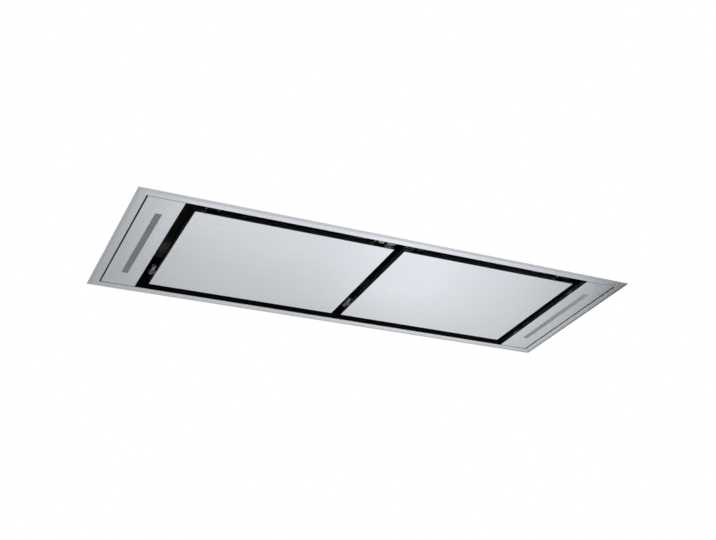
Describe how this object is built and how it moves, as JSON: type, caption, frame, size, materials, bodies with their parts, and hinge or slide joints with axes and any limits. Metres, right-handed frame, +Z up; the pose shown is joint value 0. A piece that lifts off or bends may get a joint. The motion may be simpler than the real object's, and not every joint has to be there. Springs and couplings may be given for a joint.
{
  "type": "range hood insert",
  "caption": "Flush ceiling range hood insert: bevelled steel trim frame, lamp end panels and hinged suction panels over grease filters, with a boxed blower and a side duct outlet.",
  "frame": {"origin": "plan centre of the trim frame, on the ceiling plane that the frame's seal lies against", "axes": "+X along the length, +Y across it away from the hinges, +Z up into the ceiling"},
  "size_m": [1.2, 0.43, 0.291],
  "materials": {
    "stainless": "brushed stainless steel, grain along the length",
    "black_lining": "black satin paint",
    "galvanised": "zinc-coated sheet with a faint spangle",
    "zinc": "bright zinc plating",
    "filter_aluminium": "grey anodised aluminium",
    "bright_steel": "ground steel",
    "diffuser": "frosted light cover",
    "circuit_board": "green circuit board",
    "ferrite": "sintered magnet",
    "motor_paint": "dark grey paint",
    "rubber": "moulded rubber",
    "black_plastic": "moulded, fine grain",
    "pale_plastic": "moulded, satin"
  },
  "bodies": {
    "housing": {"cable_gland": "black_plastic", "capacitor": "pale_plastic", "casing_shell": "galvanised", "catch_brackets": "zinc", "catch_magnets": "ferrite", "ceiling_seal": "rubber", "control_board": "circuit_board", "control_box": "galvanised", "control_box_lid": "galvanised", "damper_pin": "bright_steel", "far_casing_side": "galvanised", "far_liner": "black_lining", "filter_carrier": "black_lining", "frame_skirt": "stainless", "hanging_brackets": "zinc", "hinge_brackets": "black_lining", "hinge_pins": "bright_steel", "led_driver": "black_plastic", "left_casing_end": "galvanised", "left_filter_baffle": "filter_aluminium", "left_filter_frame": "filter_aluminium", "left_led_board": "circuit_board", "left_led_diffuser": "diffuser", "left_led_profile": "filter_aluminium", "left_light_panel": "stainless", "left_partition": "black_lining", "light_panel_clips": "zinc", "motor_box": "galvanised", "motor_box_lid": "galvanised", "motor_buffers": "rubber", "motor_can": "motor_paint", "near_casing_side": "galvanised", "near_liner": "black_lining", "outlet_neck": "galvanised", "outlet_spigot": "black_plastic", "right_casing_end": "galvanised", "right_filter_baffle": "filter_aluminium", "right_filter_frame": "filter_aluminium", "right_led_board": "circuit_board", "right_led_diffuser": "diffuser", "right_led_profile": "filter_aluminium", "right_light_panel": "stainless", "right_partition": "black_lining", "scroll_body": "galvanised", "scroll_cover": "galvanised", "terminal_block": "pale_plastic", "trim_frame": "stainless"},
    "left_panel": {"left_suction_panel": "stainless", "left_hinge_leaves": "zinc"},
    "right_panel": {"right_suction_panel": "stainless", "right_hinge_leaves": "zinc"},
    "wheel": {"impeller": "galvanised", "impeller_nut": "bright_steel", "motor_shaft": "bright_steel"},
    "near_flap": {"damper_flap_near": "black_plastic"},
    "far_flap": {"damper_flap_far": "black_plastic"},
    "left_latch": {"left_filter_latch": "zinc"},
    "right_latch": {"right_filter_latch": "zinc"}
  },
  "joints": [
    {"name": "left_panel_hinge", "type": "hinge", "parent": "housing", "child": "left_panel", "pos_m": [0, -0.1745, 0.009], "axis": [-1, 0, 0], "range_deg": [0, 90]},
    {"name": "right_panel_hinge", "type": "hinge", "parent": "housing", "child": "right_panel", "pos_m": [0, -0.1745, 0.009], "axis": [-1, 0, 0], "range_deg": [0, 90]},
    {"name": "wheel_spin", "type": "hinge", "parent": "housing", "child": "wheel", "pos_m": [-0.03, 0.018, 0.158], "axis": [0, 0, 1], "continuous": true},
    {"name": "near_flap_hinge", "type": "hinge", "parent": "housing", "child": "near_flap", "pos_m": [0.277, -0.0855, 0.1905], "axis": [0, 0, 1], "range_deg": [0, 75], "stiffness_Nm_per_rad": 0.02},
    {"name": "far_flap_hinge", "type": "hinge", "parent": "housing", "child": "far_flap", "pos_m": [0.277, -0.0855, 0.1905], "axis": [0, 0, -1], "range_deg": [0, 75], "stiffness_Nm_per_rad": 0.02},
    {"name": "left_latch_slide", "type": "slide", "parent": "housing", "child": "left_latch", "axis": [0, 1, 0], "range_m": [0, 0.007], "stiffness_N_per_m": 300},
    {"name": "right_latch_slide", "type": "slide", "parent": "housing", "child": "right_latch", "axis": [0, 1, 0], "range_m": [0, 0.007], "stiffness_N_per_m": 300}
  ]
}
